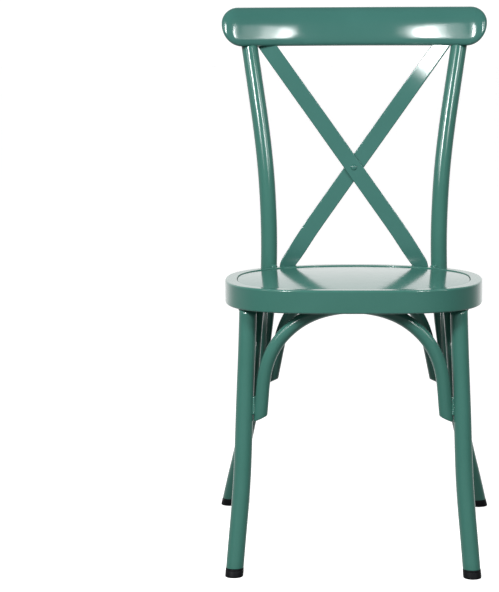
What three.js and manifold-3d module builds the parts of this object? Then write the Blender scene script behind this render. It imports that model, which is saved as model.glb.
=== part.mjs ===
// Cross-back stacking chair in welded, powder-coated aluminium tube.
// Millimetres, +Z up. The chair faces -Y, +X is to its right as seen from the
// front. The origin is on the floor, in the middle of the chair's footprint.
import * as THREE from 'three';
import { mergeVertices } from 'three/addons/utils/BufferGeometryUtils.js';
import Module from 'manifold-3d';

const wasm = await Module();
wasm.setup();

// ---- driving dimensions -------------------------------------------------
const GAP = 0.35;                // clearance kept between two touching pieces

const LEG_D = 28.2;              // leg and post tube, outside diameter with its coat
const LEG_WALL = 2.0;
const ARCH_D = 21.5;             // arch tube, outside diameter
const ARCH_WALL = 1.6;
const FOOT_H = 13;               // plastic foot, visible height
const FOOT_STEM = 18;            // plastic foot, length inside the tube

const SEAT_TOP = 450;            // top of the rim above the floor
const RING_H = 37.5;               // height of the seat ring
const RING_W = 24.5;               // width of the seat ring's section
const RIM_W = 19.5;              // width of the raised rim
const LEDGE_Z = 441.2;           // ledge inside the rim that carries the panel
const RING_WALL = 2.5;
const RING_EDGE = 2.4;           // rounding of the ring's outer edges
const PANEL_PEAK = 452.5;        // highest line of the seat panel, just behind its middle
const PANEL_CROWN = 0.00014;     // drop per square of the distance from that line, front to back
const PANEL_CROSS = 0.00010;     // the same, from side to side
const PANEL_Y = -40;
const PANEL_T = 2.5;

const CREST_HALF = 228.5;        // half length of the crest rail
const CREST_TOP = 891.6;
const CREST_BOTTOM = 824.3;
const CREST_SPLIT = 865;         // height of the crest's widest line
const CREST_T = 38;              // crest thickness, front to back
const CREST_Y = 247.5;           // crest middle, at its mid height
const CREST_LEAN = 0.32;         // backward lean, mm per mm of height
const CREST_R = 415;             // plan radius, hollow side to the front
const CREST_WALL = 2.5;

const SLAT_W = 28;               // flat bars of the cross
const SLAT_T = 4;
const CROSS_Z = 615.9;           // height where the two bars cross
const SLAT_SLOPE = 0.72;         // sideways mm per mm of height
const SLAT_TOP = 831;
const KINK_Z = 451;            // where each bar leaves its upright tab
const KINK_SLOPE = 0.68;         // sideways mm per mm of height just above it
const BLEND_Z = 470;             // start and length of the stretch that straightens it
const BLEND_H = 60;
const TOP_TURN = 0.33;           // the rear bar turns this much, in radians, towards its top
const BOW = 12.5;                 // the bars bow back this much where they cross
const TURN_Z = 680, TURN_H = 150; // height at which the bars start towards their top ends, and over how much
const RIVET_D = 11.5;

// Centre line of one rear leg with the back post above it, right-hand side.
const REAR_LEG = [
  [229.8, 283.0, -20], [225.1, 273.7, 0], [213.7, 250.0, 50], [201.4, 226.0, 100],
  [190.0, 204.0, 150], [179.4, 183.5, 200], [169.4, 165.5, 250], [160.3, 149.6, 300],
  [153.2, 137.0, 350], [148.9, 129.4, 390], [146.6, 125.9, 430], [145.6, 125.0, 470],
  [145.6, 126.9, 510], [147.0, 131.5, 550], [150.0, 140.0, 600], [155.0, 151.0, 650],
  [161.6, 164.0, 700], [169.3, 178.5, 750], [177.1, 193.5, 800], [185.0, 208.5, 850],
];
const POST_TOP = 833;
// Centre line of one front leg, right-hand side.
const FRONT_LEG = [
  [189.6, -282.0, -20], [187.7, -273.7, 0], [183.9, -255.0, 50], [179.8, -237.5, 100],
  [176.6, -221.8, 150], [175.1, -207.5, 200], [173.9, -195.3, 250], [172.2, -184.2, 300],
  [170.5, -174.5, 350], [169.3, -166.3, 395], [168.9, -163.0, 415], [168.8, -160.8, 430],
];
// Arches: distance from the middle, height. Both ends are alike.
const FRONT_ARCH_Y = -196.8;
const FRONT_ARCH = [
  [0, 420.2], [30, 417.4], [61.3, 408.9], [87.6, 395.0], [104.2, 381.3], [117.8, 366.5],
  [130.3, 346.3], [138.8, 323.2], [143.3, 298], [145.3, 272], [147.6, 246], [149.2, 228],
];
const REAR_ARCH_TOP = 420;
const REAR_ARCH_Y = 105.6;       // at the top of the arch
const REAR_ARCH_TILT = 0.347;    // the arch leans back as it goes down
const REAR_ARCH = [
  [0, REAR_ARCH_TOP], [29, 417.2], [57, 408], [84, 392.5], [106.5, 371], [120.5, 344], [127.4, 322],
  [132.8, 297], [138.2, 270], [143.8, 242], [146.4, 229],
];
const SIDE_ARCH_X = 166.6;       // at SIDE_ARCH_END, leaning inwards above it
const SIDE_ARCH_END = 245;
const SIDE_ARCH_LEAN = 0.066;
const SIDE_ARCH = [
  [-172.6, 228], [-168, 250], [-157.5, 300], [-152.4, 325], [-145.2, 350], [-130.5, 376.5],
  [-103.5, 398], [-66, 409.8], [-24, 412.4], [16, 407], [54, 394.6], [88, 374.5], [106.4, 350],
  [115, 325], [122, 300], [137, 250], [143.5, 228],
];

// Seat outline in plan: radius about (0, SEAT_CY) as a short Fourier series.
const SEAT_CY = -42;
const SEAT_R = [209.218, -4.159, 9.132, -5.392, -7.01, 2.182, -0.27, 0.71];

// ---- helpers ------------------------------------------------------------
const V = (x, y, z) => new THREE.Vector3(x, y, z);

// A closed geometry as a manifold solid, facing out.
function solid(geometry) {
  let g = geometry.clone();
  for (const a of ['normal', 'uv']) if (g.getAttribute(a)) g.deleteAttribute(a);
  g = mergeVertices(g, 1e-4);
  const pos = g.getAttribute('position');
  const idx = Array.from(g.getIndex().array);
  const tri = [];
  for (let i = 0; i < idx.length; i += 3) {
    const [a, b, c] = [idx[i], idx[i + 1], idx[i + 2]];
    if (a !== b && b !== c && a !== c) tri.push(a, b, c);
  }
  let volume = 0;
  const [p, q, r] = [V(0, 0, 0), V(0, 0, 0), V(0, 0, 0)];
  for (let i = 0; i < tri.length; i += 3) {
    p.fromBufferAttribute(pos, tri[i]);
    q.fromBufferAttribute(pos, tri[i + 1]);
    r.fromBufferAttribute(pos, tri[i + 2]);
    volume += p.dot(q.cross(r));
  }
  if (volume < 0) for (let i = 0; i < tri.length; i += 3) [tri[i], tri[i + 1]] = [tri[i + 1], tri[i]];
  return new wasm.Manifold(new wasm.Mesh({
    numProp: 3,
    vertProperties: new Float32Array(pos.array),
    triVerts: new Uint32Array(tri),
  }));
}

function geometryOf(manifold) {
  const mesh = manifold.getMesh();
  const g = new THREE.BufferGeometry();
  const n = mesh.vertProperties.length / mesh.numProp;
  const xyz = new Float32Array(n * 3);
  for (let i = 0; i < n; i++) for (let k = 0; k < 3; k++) xyz[3 * i + k] = mesh.vertProperties[mesh.numProp * i + k];
  g.setAttribute('position', new THREE.BufferAttribute(xyz, 3));
  g.setIndex(new THREE.BufferAttribute(new Uint32Array(mesh.triVerts), 1));
  return g;
}

function circlePoints(radius, sides) {
  return Array.from({ length: sides }, (_, i) => {
    const a = (2 * Math.PI * (i + 0.5)) / sides;
    return new THREE.Vector2(radius * Math.cos(a), radius * Math.sin(a));
  });
}

// A polygon with this many sides has the same area as the circle.
const rounded = (radius, sides) => radius * Math.sqrt((2 * Math.PI / sides) / Math.sin(2 * Math.PI / sides));

function rod(curve, radius, steps, sides) {
  return solid(new THREE.ExtrudeGeometry(new THREE.Shape(circlePoints(rounded(radius, sides), sides)), {
    steps, extrudePath: curve, bevelEnabled: false,
  }));
}

function pipe(curve, radius, wall, steps, sides, inner) {
  const shape = new THREE.Shape(circlePoints(rounded(radius, sides), sides));
  shape.holes.push(new THREE.Path(circlePoints(rounded(radius - wall, inner), inner).reverse()));
  return solid(new THREE.ExtrudeGeometry(shape, { steps, extrudePath: curve, bevelEnabled: false }));
}

function box(sx, sy, sz, x, y, z, rotate) {
  const g = new THREE.BoxGeometry(sx, sy, sz);
  if (rotate) g.applyMatrix4(rotate);
  g.translate(x, y, z);
  return solid(g);
}

const slab = (z0, z1) => box(1200, 1200, z1 - z0, 0, 0, (z0 + z1) / 2);

const spline = (points) => new THREE.CatmullRomCurve3(points, false, 'centripetal');
const side = (points, s) => points.map(([x, y, z]) => V(s * x, y, z));

// Point on a centre line at a given height.
function atHeight(points, z) {
  for (let i = 1; i < points.length; i++) {
    const [a, b] = [points[i - 1], points[i]];
    if ((a[2] - z) * (b[2] - z) <= 0 && a[2] !== b[2]) {
      const t = (z - a[2]) / (b[2] - a[2]);
      return V(a[0] + t * (b[0] - a[0]), a[1] + t * (b[1] - a[1]), z);
    }
  }
  return null;
}

// ---- materials ----------------------------------------------------------
const GREEN = () => new THREE.MeshStandardMaterial({ color: 0x477f71, roughness: 0.22, metalness: 0.0 });
const BLACK = () => new THREE.MeshStandardMaterial({ color: 0x1f2225, roughness: 0.55, metalness: 0.0 });

const group = new THREE.Group();
function add(name, manifold, material) {
  const mesh = new THREE.Mesh(geometryOf(manifold), material);
  mesh.name = name;
  group.add(mesh);
  return manifold;
}

// ---- seat ring ----------------------------------------------------------
function seatRadius(a) {
  const c = SEAT_R;
  return c[0] + c[1] * Math.sin(a) + c[2] * Math.cos(2 * a) + c[3] * Math.sin(3 * a)
    + c[4] * Math.cos(4 * a) + c[5] * Math.sin(5 * a) + c[6] * Math.cos(6 * a) + c[7] * Math.sin(7 * a);
}
function seatPoint(a, offset) {
  const at = (t) => [seatRadius(t) * Math.cos(t), SEAT_CY + seatRadius(t) * Math.sin(t)];
  const [x, y] = at(a);
  const [xa, ya] = at(a - 1e-4);
  const [xb, yb] = at(a + 1e-4);
  const l = Math.hypot(xb - xa, yb - ya);
  const nx = (yb - ya) / l;
  const ny = -(xb - xa) / l;
  return { x: x - offset * nx, y: y - offset * ny, nx, ny };
}

// A section of (offset from the outline, height) points carried round the seat.
function carriedRound(section, segments) {
  const REF = 400;
  const points = section.map(([o, z]) => new THREE.Vector2(REF - o, z));
  points.push(points[0].clone());
  const g = new THREE.LatheGeometry(points, segments);
  const pos = g.getAttribute('position');
  for (let i = 0; i < pos.count; i++) {
    const [x, z, y] = [pos.getX(i), pos.getY(i), pos.getZ(i)];
    const a = Math.round(Math.atan2(y, x) / (2 * Math.PI / segments)) * (2 * Math.PI / segments);
    const p = seatPoint(a, REF - Math.hypot(x, y));
    pos.setXYZ(i, p.x, p.y, z);
  }
  return solid(g);
}

// A plain prism inside the outline.
function seatPrism(offset, z0, z1, segments) {
  const points = [];
  for (let i = 0; i < segments; i++) {
    const p = seatPoint((2 * Math.PI * i) / segments, offset);
    points.push(new THREE.Vector2(p.x, p.y));
  }
  const g = new THREE.ExtrudeGeometry(new THREE.Shape(points), { depth: z1 - z0, bevelEnabled: false, steps: 1 });
  g.translate(0, 0, z0);
  return solid(g);
}

const SEGMENTS = 64;
const RING_BOTTOM = SEAT_TOP - RING_H;
const e = RING_EDGE;
const ringSection = [
  [0, RING_BOTTOM + e], [0, SEAT_TOP - e], [0.29 * e, SEAT_TOP - 0.29 * e], [e, SEAT_TOP],
  [RIM_W - 1.5, SEAT_TOP], [RIM_W, SEAT_TOP - 1.5], [RIM_W, LEDGE_Z], [RING_W, LEDGE_Z],
  [RING_W, RING_BOTTOM + 1.5], [RING_W - 1.5, RING_BOTTOM], [e, RING_BOTTOM], [0.29 * e, RING_BOTTOM + 0.29 * e],
];
const w = RING_WALL;
const ringCavity = [
  [w, RING_BOTTOM + w], [w, SEAT_TOP - w - 1], [RIM_W - w, SEAT_TOP - w - 1], [RIM_W - w, LEDGE_Z - w],
  [RING_W - w, LEDGE_Z - w], [RING_W - w, RING_BOTTOM + w],
];
let ring = carriedRound(ringSection, SEGMENTS).subtract(carriedRound(ringCavity, SEGMENTS));
for (const s of [-1, 1]) {
  // vent into the bore of each front leg
  const vent = new THREE.CylinderGeometry(3, 3, 12, 10).rotateX(Math.PI / 2);
  vent.translate(s * 168.9, -162.4, RING_BOTTOM);
  ring = ring.subtract(solid(vent));
}
add('seat_ring', ring, GREEN());

// ---- seat panel ---------------------------------------------------------
// Pressed sheet with a shallow dome and a folded edge that stands on the ledge.
function underCrown(drop, z0) {
  const RINGS = 9;
  const REACH = 236;
  const profile = [new THREE.Vector2(0, z0)];
  for (let i = RINGS; i >= 0; i--) profile.push(new THREE.Vector2((REACH * i) / RINGS, 0));
  profile.splice(1, 0, new THREE.Vector2(REACH, z0));
  const g = new THREE.LatheGeometry(profile, 32);
  const pos = g.getAttribute('position');
  for (let i = 0; i < pos.count; i++) {
    const [x, h, y] = [pos.getX(i), pos.getY(i), pos.getZ(i)];
    const z = Math.abs(h - z0) < 1 ? z0 : PANEL_PEAK - PANEL_CROWN * y * y - PANEL_CROSS * x * x - drop;
    pos.setXYZ(i, x, PANEL_Y + y, z);
  }
  return solid(g);
}
const PANEL_BOTTOM = LEDGE_Z + GAP;
const panel = seatPrism(RIM_W + GAP, PANEL_BOTTOM, 460, SEGMENTS).intersect(underCrown(0, PANEL_BOTTOM - 5))
  .subtract(seatPrism(RIM_W + GAP + PANEL_T, PANEL_BOTTOM - 4, 460, SEGMENTS).intersect(underCrown(PANEL_T, PANEL_BOTTOM - 5)));
add('seat_panel', panel, GREEN());

// ---- legs and feet ------------------------------------------------------
const LEG_SIDES = 16;
const LEG_INNER = 10;
const REAR_STEPS = 22;
const FRONT_STEPS = 9;
const ARCH_SIDES = 12;
const ARCH_STEPS = 20;
const tool = {};                 // slightly larger copies, used to cut clearances
for (const [name, s] of [['left', -1], ['right', 1]]) {
  const front = spline(side(FRONT_LEG, s));
  const rear = spline(side(REAR_LEG, s));
  add(`front_leg_${name}`, pipe(front, LEG_D / 2, LEG_WALL, FRONT_STEPS, LEG_SIDES, LEG_INNER)
    .intersect(slab(FOOT_H + GAP, RING_BOTTOM - GAP)), GREEN());
  add(`rear_leg_${name}`, pipe(rear, LEG_D / 2, LEG_WALL, REAR_STEPS, LEG_SIDES, LEG_INNER)
    .intersect(slab(FOOT_H + GAP, POST_TOP)), GREEN());
  tool[`front_leg_${name}`] = rod(front, LEG_D / 2 + GAP, FRONT_STEPS, LEG_SIDES);
  tool[`rear_leg_${name}`] = rod(rear, LEG_D / 2 + GAP, REAR_STEPS, LEG_SIDES).intersect(slab(-50, POST_TOP + GAP));
  for (const [which, curve, steps] of [['front', front, FRONT_STEPS], ['rear', rear, REAR_STEPS]]) {
    const head = rod(curve, LEG_D / 2, steps, LEG_SIDES).intersect(slab(0, FOOT_H));
    const stem = rod(curve, LEG_D / 2 - LEG_WALL - 0.9, steps, LEG_INNER).intersect(slab(FOOT_H - 2, FOOT_H + FOOT_STEM));
    add(`foot_cap_${which}_${name}`, head.add(stem), BLACK());
  }
}

// ---- arches -------------------------------------------------------------
// Bent tubes with closed, slanted ends. A vent at the top of each lets the
// inside breathe.
function arch(points, cuts, vent) {
  const curve = spline(points);
  let body = rod(curve, ARCH_D / 2, ARCH_STEPS, ARCH_SIDES);
  let bore = rod(curve, ARCH_D / 2 - ARCH_WALL, ARCH_STEPS, 8);
  for (const cut of cuts) {
    body = body.subtract(cut(0));
    bore = bore.subtract(cut(3));
  }
  body = body.subtract(bore);
  const hole = new THREE.CylinderGeometry(2.2, 2.2, 12, 8).rotateX(Math.PI / 2);
  hole.translate(vent.x, vent.y, vent.z);
  return body.subtract(solid(hole));
}

// A box whose top face is the slanted end cut, through a point. The bore stops
// a little short of it.
function endCut(x, y, z, rotation) {
  return (short) => {
    const g = new THREE.BoxGeometry(60, 60, 40);
    g.translate(0, 0, short - 20);
    g.applyMatrix4(new THREE.Matrix4().makeRotationFromEuler(rotation));
    g.translate(x, y, z);
    return solid(g);
  };
}

const mirrored = (half, make) => [
  ...half.slice(1).reverse().map(([u, z]) => make(-u, z)),
  ...half.map(([u, z]) => make(u, z)),
];
const END_SLANT = 0.43;
const frontArch = arch(
  mirrored(FRONT_ARCH, (u, z) => V(u, FRONT_ARCH_Y, z)),
  [endCut(148.6, FRONT_ARCH_Y, 239.5, new THREE.Euler(0, END_SLANT, 0)), endCut(-148.6, FRONT_ARCH_Y, 239.5, new THREE.Euler(0, -END_SLANT, 0))],
  V(0, FRONT_ARCH_Y, 420.2 + ARCH_D / 2),
);
add('front_arch', frontArch, GREEN());
const rearArchPoint = (u, z) => V(u, REAR_ARCH_Y + REAR_ARCH_TILT * (REAR_ARCH_TOP - z), z);
const rearEnd = rearArchPoint(144.2, 240);
const rearArch = arch(
  mirrored(REAR_ARCH, rearArchPoint),
  [endCut(rearEnd.x, rearEnd.y, 241, new THREE.Euler(0.2, END_SLANT, 0)), endCut(-rearEnd.x, rearEnd.y, 241, new THREE.Euler(0.2, -END_SLANT, 0))],
  V(0, REAR_ARCH_Y, REAR_ARCH_TOP + ARCH_D / 2),
);
add('rear_arch', rearArch, GREEN());
const sideArchPoint = (s, y, z) => V(s * (SIDE_ARCH_X - SIDE_ARCH_LEAN * (z - SIDE_ARCH_END)), y, z);
for (const [name, s] of [['left', -1], ['right', 1]]) {
  add(`side_arch_${name}`, arch(
    SIDE_ARCH.map(([y, z]) => sideArchPoint(s, y, z)),
    [endCut(s * SIDE_ARCH_X, -170.1, 240, new THREE.Euler(END_SLANT, 0, 0)), endCut(s * SIDE_ARCH_X, 140.0, 240, new THREE.Euler(-END_SLANT, 0, 0))],
    sideArchPoint(s, -24, 412.4 + ARCH_D / 2),
  ), GREEN());
}

// ---- welds between arch ends and legs -----------------------------------
const archTool = {
  front: rod(spline(mirrored(FRONT_ARCH, (u, z) => V(u, FRONT_ARCH_Y, z))), ARCH_D / 2 + GAP, ARCH_STEPS, ARCH_SIDES),
  rear: rod(spline(mirrored(REAR_ARCH, rearArchPoint)), ARCH_D / 2 + GAP, ARCH_STEPS, ARCH_SIDES),
  left: rod(spline(SIDE_ARCH.map(([y, z]) => sideArchPoint(-1, y, z))), ARCH_D / 2 + GAP, ARCH_STEPS, ARCH_SIDES),
  right: rod(spline(SIDE_ARCH.map(([y, z]) => sideArchPoint(1, y, z))), ARCH_D / 2 + GAP, ARCH_STEPS, ARCH_SIDES),
};
function web(legPoints, s, archCentre, archKey, legKey, length) {
  const leg = atHeight(legPoints, archCentre.z);
  leg.x *= s;
  const across = archCentre.clone().sub(leg);
  const flat = Math.atan2(across.y, across.x);
  const gap = Math.hypot(across.x, across.y) - LEG_D / 2 - ARCH_D / 2;
  const unit = V(Math.cos(flat), Math.sin(flat), 0);
  const middle = leg.clone().addScaledVector(unit, LEG_D / 2 + gap / 2);
  const up = atHeight(legPoints, archCentre.z + 15);
  up.x *= s;
  const lean = up.sub(leg).normalize();
  const g = new THREE.CylinderGeometry(6.2, 6.2, length, 12).rotateX(Math.PI / 2);
  g.scale(0.72, 1, 1);
  const z = lean;
  const x = unit.clone().addScaledVector(z, -unit.dot(z)).normalize();
  const y = z.clone().cross(x);
  g.applyMatrix4(new THREE.Matrix4().makeBasis(x, y, z));
  g.translate(middle.x, middle.y, middle.z);
  return solid(g).subtract(tool[legKey]).subtract(archTool[archKey]);
}
for (const [name, s] of [['left', -1], ['right', 1]]) {
  add(`weld_front_arch_${name}`, web(FRONT_LEG, s, V(s * 146.35, FRONT_ARCH_Y, 260), 'front', `front_leg_${name}`, 30), GREEN());
  const r = rearArchPoint(139.8, 262);
  add(`weld_rear_arch_${name}`, web(REAR_LEG, s, V(s * r.x, r.y, r.z), 'rear', `rear_leg_${name}`, 30), GREEN());
  add(`weld_side_arch_front_${name}`, web(FRONT_LEG, s, V(s * SIDE_ARCH_X, -166, 260), name, `front_leg_${name}`, 30), GREEN());
  add(`weld_side_arch_rear_${name}`, web(REAR_LEG, s, V(s * SIDE_ARCH_X, 134, 260), name, `rear_leg_${name}`, 30), GREEN());
}

// ---- welds at the seat ring ---------------------------------------------
const ringBulk = seatPrism(-GAP, RING_BOTTOM - 20, SEAT_TOP + GAP, SEGMENTS);
for (const [name, s] of [['left', -1], ['right', 1]]) {
  // bead down the seam between post and ring, with a cap on top of the rim
  const post = atHeight(REAR_LEG, 448);
  post.x *= s;
  const dir = V(-post.x, SEAT_CY - post.y, 0).normalize();
  const turn = new THREE.Matrix4().makeRotationZ(Math.atan2(dir.y, dir.x));
  const seam = post.clone().addScaledVector(dir, LEG_D / 2 + 0.5);
  const bead = new THREE.CylinderGeometry(8.5, 7.5, 31, 12).rotateX(Math.PI / 2);
  bead.scale(0.62, 1, 1);
  bead.applyMatrix4(turn);
  bead.translate(seam.x, seam.y, 438.5);
  add(`weld_back_post_${name}`, solid(bead).subtract(tool[`rear_leg_${name}`]).subtract(ringBulk), GREEN());
  // collar where the front leg meets the underside of the ring
  const top = atHeight(FRONT_LEG, RING_BOTTOM - 2);
  top.x *= s;
  const collar = new THREE.CylinderGeometry(LEG_D / 2 + 1.6, LEG_D / 2 + 0.9, 1.8, 18).rotateX(Math.PI / 2);
  collar.translate(top.x, top.y, RING_BOTTOM - GAP - 0.9);
  add(`weld_front_leg_${name}`, solid(collar).subtract(tool[`front_leg_${name}`]), GREEN());
}

// ---- cross slats --------------------------------------------------------
// Each bar starts as a vertical tab on the outside of the ring, twists into the
// plane of the back, passes the other bar and ends inside the crest rail.
const smooth = (t) => { const c = Math.min(1, Math.max(0, t)); return c * c * (3 - 2 * c); };
const TAB_X = 115.3;
const tabAngle = (() => {
  let best = 0;
  for (let a = 0.5; a < 1.5; a += 0.0005) if (Math.abs(seatPoint(a, 0).x - (TAB_X - 1.4)) < Math.abs(seatPoint(best, 0).x - (TAB_X - 1.4))) best = a;
  return best;
})();
const tab = seatPoint(tabAngle, -(SLAT_T / 2 + 2 * GAP));
// The front bar comes straight again; the rear one follows the hollow of the crest rail.
function topBend(layer, t) {
  if (layer < 0) return BOW * smooth(t);
  const u = Math.min(1, Math.max(0, t));
  return SLAT_SLOPE * Math.tan(TOP_TURN) * TURN_H * (u ** 3 - u ** 4 / 2 + Math.max(0, t - 1));
}
function slatStations(layer) {
  // right-hand foot, running up to the left; layer -1 is the front bar
  const rows = [];
  const heights = [423, 436, 450.5, 454, 459, 466, 475, 487, 502, 520, 543, 568, 592, 615.9, 640, 664, 700, 740, 780, 812, 846];
  for (const z of heights) {
    const straight = -SLAT_SLOPE * (z - CROSS_Z);
    const low = tab.x - KINK_SLOPE * Math.max(0, z - KINK_Z);
    const k = smooth((z - BLEND_Z) / BLEND_H);
    const x = z < 448 ? tab.x : low * (1 - k) + straight * k;
    const h = Math.max(0, z - 452);
    const lean = tab.y + 0.5 + 0.12 * h + 0.00022 * h * h + BOW * smooth(h / 200) - topBend(layer, (z - TURN_Z) / TURN_H);
    const pass = smooth((140 - Math.abs(z - CROSS_Z)) / 95);
    const y = z < 448 ? tab.y : tab.y * (1 - smooth((z - 448) / 10)) + lean * smooth((z - 448) / 10) + layer * (SLAT_T / 2 + 0.2) * pass;
    rows.push(V(x, y, z));
  }
  return rows;
}
function slat(layer, mirror, extra, from, to) {
  const rows = slatStations(layer).slice(from, to);
  const n = rows.length;
  const g = new THREE.BoxGeometry(1, 1, 1, 1, 1, n - 1);
  const pos = g.getAttribute('position');
  const half = SLAT_W / 2 + extra;
  const thick = SLAT_T / 2 + extra;
  const frames = rows.map((p, i) => {
    const along = rows[Math.min(n - 1, i + 1)].clone().sub(rows[Math.max(0, i - 1)]).normalize();
    const k = smooth((p.z - 447) / 62);
    const turn = layer > 0 ? TOP_TURN * smooth((p.z - TURN_Z) / TURN_H) : 0;
    const back = V(-Math.sin(turn), Math.cos(turn), (along.x * Math.sin(turn) - along.y * Math.cos(turn)) / along.z).normalize();
    const face = V(tab.nx * (1 - k), tab.ny * (1 - k), 0).addScaledVector(back, k).normalize();
    face.addScaledVector(along, -face.dot(along)).normalize();
    const across = along.clone().cross(face).normalize();
    return { p, across, face };
  });
  for (let i = 0; i < pos.count; i++) {
    const row = Math.round((pos.getZ(i) + 0.5) * (n - 1));
    const f = frames[row];
    const q = f.p.clone()
      .addScaledVector(f.across, Math.sign(pos.getX(i)) * half)
      .addScaledVector(f.face, Math.sign(pos.getY(i)) * thick);
    pos.setXYZ(i, mirror * q.x, q.y, q.z);
  }
  return solid(g);
}
const rivetAt = V(0, (slatStations(-1)[13].y + slatStations(1)[13].y) / 2, CROSS_Z);
const leanAtCross = Math.atan2(slatStations(1)[14].y - slatStations(1)[12].y, slatStations(1)[14].z - slatStations(1)[12].z);
function alongRivet(g) {
  g.rotateX(-leanAtCross);
  g.translate(rivetAt.x, rivetAt.y, rivetAt.z);
  return solid(g);
}
const rivetHole = alongRivet(new THREE.CylinderGeometry(2.9, 2.9, 30, 14));
const slatFront = slat(-1, 1, 0, 0, 21).intersect(slab(0, SLAT_TOP)).subtract(rivetHole).subtract(tool.rear_leg_left);
const slatRear = slat(1, -1, 0, 0, 21).intersect(slab(0, SLAT_TOP)).subtract(rivetHole).subtract(tool.rear_leg_right);
add('back_slat_front', slatFront, GREEN());
add('back_slat_rear', slatRear, GREEN());
// rivet: domed head in front, shank, and a lower set head behind
{
  const f = SLAT_T + 0.2 + 0.35;
  const r = RIVET_D / 2;
  const profile = [[0, f + 2.6], [r * 0.45, f + 2.3], [r * 0.82, f + 1.4], [r, f], [2.5, f], [2.5, -f], [r * 0.9, -f],
    [r * 0.75, -f - 1.2], [0, -f - 1.6]].map(([x, y]) => new THREE.Vector2(x, y));
  const g = new THREE.LatheGeometry(profile, 14);
  // the lathe axis is +Y; turn it so that the domed head faces the front
  g.rotateX(Math.PI);
  add('cross_rivet', alongRivet(g), GREEN());
}

// ---- crest rail ---------------------------------------------------------
function crestShape(inset, RINGS, AROUND) {
  const g = new THREE.SphereGeometry(1, AROUND, RINGS);
  const pos = g.getAttribute('position');
  const half = CREST_HALF - inset;
  const cap = 36;
  const split = CREST_SPLIT;
  for (let i = 0; i < pos.count; i++) {
    const p = V(pos.getX(i), pos.getY(i), pos.getZ(i));
    const s = Math.acos(Math.min(1, Math.max(-1, p.y))) / Math.PI;
    const t = s < 0.5 ? s : 1 - s;
    const sign = s < 0.5 ? 1 : -1;
    const knee = 0.27;
    const x = t < knee ? half - cap * (1 - Math.cos((t / knee) * Math.PI / 2)) : (half - cap) * (0.5 - t) / (0.5 - knee);
    const upper = (r) => { const d = (x - (half - r)) / r; return d <= 0 ? 1 : Math.sqrt(Math.max(0, 1 - d * d)); };
    const top = split + (CREST_TOP - inset - split) * upper(27);
    const bottom = split - (split - CREST_BOTTOM - inset) * upper(36);
    const thick = (CREST_T / 2 - inset) * upper(30);
    const b = Math.atan2(p.x, p.z);
    const power = Math.sin(b) < 0 ? 2 / 3.8 : 2 / 2.5;   // squarer below
    const c = Math.sign(Math.cos(b)) * Math.abs(Math.cos(b)) ** power;
    const d = Math.sign(Math.sin(b)) * Math.abs(Math.sin(b)) ** power;
    const z = (top + bottom) / 2 + ((top - bottom) / 2) * d;
    const y = CREST_Y - (x * x) / (2 * CREST_R) + CREST_LEAN * (z - 858) + thick * c;
    pos.setXYZ(i, sign * x, y, z);
  }
  return solid(g);
}
const slatCutFront = slat(-1, 1, 2 * GAP, 18, 21).intersect(slab(0, SLAT_TOP + 1));
const slatCutRear = slat(1, -1, 2 * GAP, 18, 21).intersect(slab(0, SLAT_TOP + 1));
const crest = crestShape(0, 26, 18).subtract(crestShape(CREST_WALL, 16, 12))
  .subtract(tool.rear_leg_left).subtract(tool.rear_leg_right)
  .subtract(slatCutFront).subtract(slatCutRear);
add('crest_rail', crest, GREEN());

export default group;
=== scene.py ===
"""Looks of the cross-back stacking chair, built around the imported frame. Metres, same frame."""
import math

import bmesh
import bpy
import numpy as np
from mathutils import Matrix, Vector


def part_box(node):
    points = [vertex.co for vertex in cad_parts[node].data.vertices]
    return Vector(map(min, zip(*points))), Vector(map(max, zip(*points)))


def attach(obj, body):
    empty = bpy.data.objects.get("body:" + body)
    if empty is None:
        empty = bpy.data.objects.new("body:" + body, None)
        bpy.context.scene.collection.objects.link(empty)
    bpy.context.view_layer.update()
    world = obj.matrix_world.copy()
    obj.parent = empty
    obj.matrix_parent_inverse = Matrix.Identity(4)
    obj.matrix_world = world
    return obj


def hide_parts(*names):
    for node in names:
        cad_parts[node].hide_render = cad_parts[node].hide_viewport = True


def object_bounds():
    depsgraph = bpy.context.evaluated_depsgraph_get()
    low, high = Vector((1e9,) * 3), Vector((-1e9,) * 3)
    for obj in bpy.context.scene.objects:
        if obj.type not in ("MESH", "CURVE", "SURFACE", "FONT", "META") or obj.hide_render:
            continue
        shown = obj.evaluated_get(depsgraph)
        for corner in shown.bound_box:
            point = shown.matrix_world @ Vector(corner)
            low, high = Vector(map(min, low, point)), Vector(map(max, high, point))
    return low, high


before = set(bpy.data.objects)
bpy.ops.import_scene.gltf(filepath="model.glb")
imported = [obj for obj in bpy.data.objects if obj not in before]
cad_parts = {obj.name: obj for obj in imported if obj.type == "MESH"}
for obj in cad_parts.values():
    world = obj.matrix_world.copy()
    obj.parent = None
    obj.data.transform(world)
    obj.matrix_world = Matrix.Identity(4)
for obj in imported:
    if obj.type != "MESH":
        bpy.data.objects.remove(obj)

cad_lo, cad_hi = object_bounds()

# ---------------------------------------------------------------- placement
# The tables below are the CAD's own driving dimensions, in millimetres. The
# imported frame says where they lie: the seat ring's box fixes the offset.
MM = 0.001
ring_lo, ring_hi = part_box("seat_ring")
SEAT_TOP, RING_H = 450.0, 37.5
OFFSET = np.array([
    (ring_lo.x + ring_hi.x) / 2,
    (ring_lo.y + ring_hi.y) / 2 - (-0.039331),
    ring_hi.z - SEAT_TOP * MM,
])

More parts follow.
